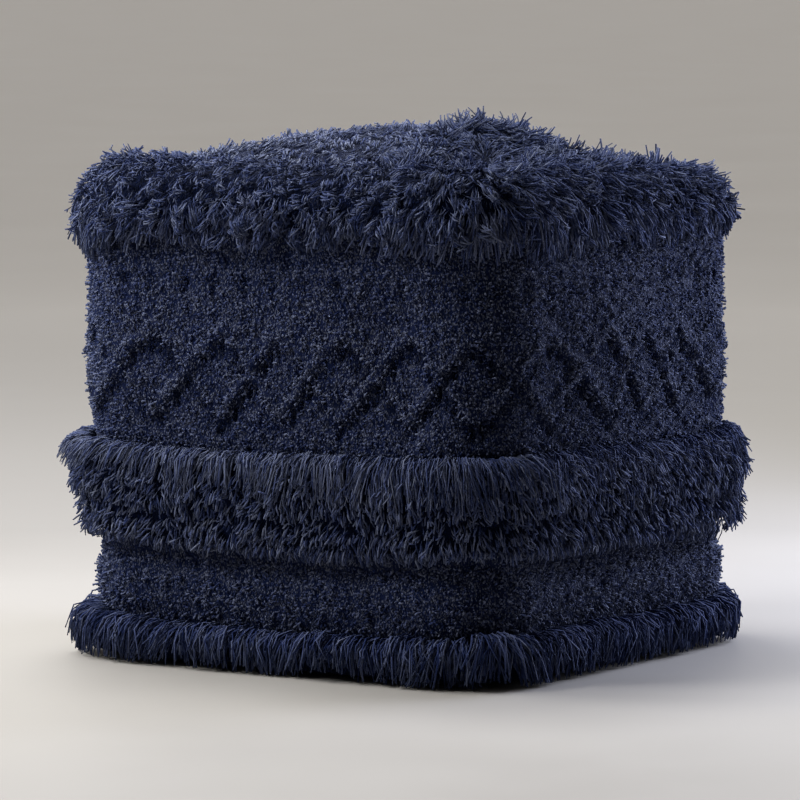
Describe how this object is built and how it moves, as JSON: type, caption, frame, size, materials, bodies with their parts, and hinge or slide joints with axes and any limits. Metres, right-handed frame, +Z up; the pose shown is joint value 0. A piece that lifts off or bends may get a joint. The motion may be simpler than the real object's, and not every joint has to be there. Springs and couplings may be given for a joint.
{
  "type": "moroccan pouf",
  "caption": "Square stuffed floor pouf in tufted navy cotton, with shaggy fringes round its rim, middle and base and a long-pile band across its crowned top.",
  "frame": {"origin": "middle of the flat base, on the surface the pouf rests on", "axes": "+Z up through the crown; +X out of the right-hand face, on the side of the long-pile band; -Y out of the left-hand face of the picture"},
  "size_m": [0.521, 0.5144, 0.4924],
  "materials": {
    "tufted_cotton": "short cut pile, matt, with a zigzag in taller tufts",
    "cotton_fringe": "long combed cotton yarn, matt",
    "cotton_shag": "long cut pile, matt"
  },
  "bodies": {
    "root": {"filled_body": "tufted_cotton", "base_fringe": "cotton_fringe", "mid_fringe_lower": "cotton_fringe", "mid_fringe_upper": "cotton_fringe", "top_edge_fringe": "cotton_fringe", "top_cross_shag": "cotton_shag"}
  },
  "joints": []
}
